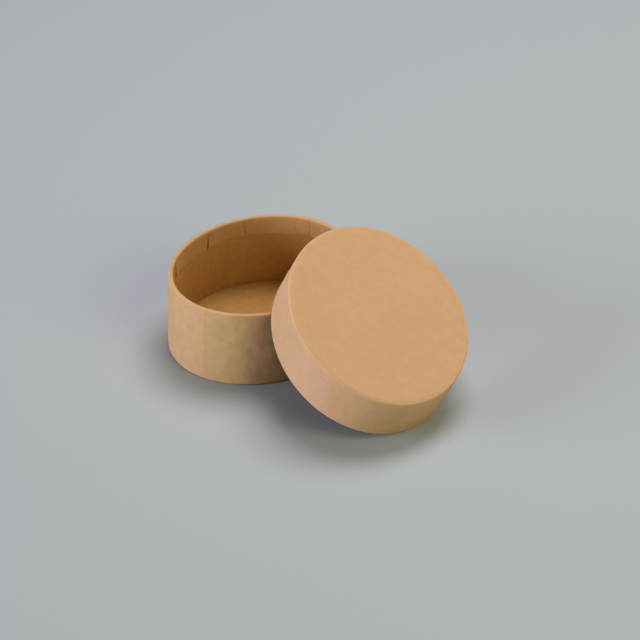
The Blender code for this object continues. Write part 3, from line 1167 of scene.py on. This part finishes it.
# Lamps: name, turn from the camera's side (to its right), height angle, distance, size, watts, colour
LAMPS = (
    ("high", 155.0, 66.0, 1.3, 0.9, 12.5, (1.0, 0.99, 1.0)),
    ("side", -68.0, 8.0, 1.3, 0.9, 19.6, (0.81, 0.87, 1.0)),
    ("fill", 45.0, 35.0, 1.3, 0.9, 6.2, (0.97, 1.0, 0.68)),
)
WORLD_COLOUR = (0.98, 1.0, 0.90)
WORLD_STRENGTH = 0.06
FLOOR_SIZE = 6.0


class OVALBOX_OT_stage(bpy.types.Operator):
    """Plain floor, soft lamps and the camera"""

    bl_idname = "ovalbox.stage"
    bl_label = "Stage"

    def execute(self, context):
        make_floor()
        for lamp in LAMPS:
            make_lamp(*lamp)
        make_world()
        make_camera()
        context.scene.view_settings.view_transform = "Standard"
        return {"FINISHED"}


def direction(turn_degrees, up_degrees):
    """The way to something at a turn from the camera's side and a height angle."""
    turn, up = math.radians(CAMERA_TURN + turn_degrees), math.radians(up_degrees)
    return Vector((math.sin(turn) * math.cos(up), -math.cos(turn) * math.cos(up), math.sin(up)))


def make_floor():
    bpy.ops.object.select_all(action="DESELECT")
    bpy.ops.mesh.primitive_plane_add(size=FLOOR_SIZE, location=(0.0, 0.0, 0.0))
    floor = bpy.context.object
    floor.name = "stage_floor"
    material = new_material("stage_floor")
    tree = material.node_tree
    inputs = {"Base Color": (*finish_colours().floor, 1.0), "Roughness": 0.7, "Specular IOR Level": 0.3}
    shader = add_node(tree, "ShaderNodeBsdfPrincipled", inputs)
    add_node(tree, "ShaderNodeOutputMaterial", {"Surface": shader.outputs[0]})
    floor.data.materials.append(material)


def make_lamp(name, turn, up, distance, size, watts, colour):
    bpy.ops.object.light_add(type="AREA", location=direction(turn, up) * distance)
    lamp = bpy.context.object
    lamp.name = "lamp_" + name
    lamp.rotation_euler = (-lamp.location).to_track_quat("-Z", "Y").to_euler()
    lamp.data.shape = "DISK"
    lamp.data.size = size
    lamp.data.energy = watts
    lamp.data.color = colour


def make_world():
    world = bpy.data.worlds.new("soft_room")
    world.use_nodes = True
    background = world.node_tree.nodes["Background"]
    background.inputs["Color"].default_value = (*WORLD_COLOUR, 1.0)
    background.inputs["Strength"].default_value = WORLD_STRENGTH
    bpy.context.scene.world = world


def make_camera():
    bpy.ops.object.camera_add()
    camera = bpy.context.object
    camera.name = "camera"
    camera.data.sensor_width = SENSOR_MM
    camera.data.lens = FOCAL_PIXELS / FRAME_PIXELS * SENSOR_MM
    turned = Matrix.Rotation(math.radians(CAMERA_TURN), 4, "Z")
    turned @= Matrix.Rotation(math.radians(90.0 - CAMERA_DOWN), 4, "X")
    turned @= Matrix.Rotation(math.radians(CAMERA_ROLL), 4, "Z")
    aside = [(pixel - FRAME_PIXELS / 2) / FOCAL_PIXELS * CAMERA_DEPTH for pixel in ORIGIN_PIXEL]
    origin = Vector((aside[0], -aside[1], -CAMERA_DEPTH))
    camera.matrix_world = Matrix.Translation(-(turned @ origin)) @ turned
    bpy.context.scene.camera = camera


class OVALBOX_PT_panel(bpy.types.Panel):
    """The box's sizes, finish and making steps in the sidebar"""

    bl_idname = "OVALBOX_PT_panel"
    bl_label = "Oval Box"
    bl_space_type = "VIEW_3D"
    bl_region_type = "UI"
    bl_category = "Oval Box"

    def draw(self, context):
        for group in (context.scene.oval_box_sizes, context.scene.oval_box_finish):
            column = self.layout.column(align=True)
            for name in group.bl_rna.properties.keys():
                if name not in ("rna_type", "name"):
                    column.prop(group, name)
        column = self.layout.column(align=True)
        for step in STEPS:
            column.operator(step.bl_idname)


STEPS = (
    OVALBOX_OT_box_paper,
    OVALBOX_OT_box_bottom,
    OVALBOX_OT_box_boards,
    OVALBOX_OT_lid_paper,
    OVALBOX_OT_lid_cover,
    OVALBOX_OT_lid_boards,
    OVALBOX_OT_stage,
)
CLASSES = (OvalBoxSizes, OvalBoxFinish, *STEPS, OVALBOX_PT_panel)


def register():
    for each in CLASSES:
        bpy.utils.register_class(each)
    bpy.types.Scene.oval_box_sizes = bpy.props.PointerProperty(type=OvalBoxSizes)
    bpy.types.Scene.oval_box_finish = bpy.props.PointerProperty(type=OvalBoxFinish)


def unregister():
    del bpy.types.Scene.oval_box_finish
    del bpy.types.Scene.oval_box_sizes
    for each in reversed(CLASSES):
        bpy.utils.unregister_class(each)


def main():
    register()
    bpy.ops.ovalbox.box_paper()
    bpy.ops.ovalbox.box_bottom()
    bpy.ops.ovalbox.box_boards()
    bpy.ops.ovalbox.lid_paper()
    bpy.ops.ovalbox.lid_cover()
    bpy.ops.ovalbox.lid_boards()
    bpy.ops.ovalbox.stage()


if __name__ == "__main__":
    main()
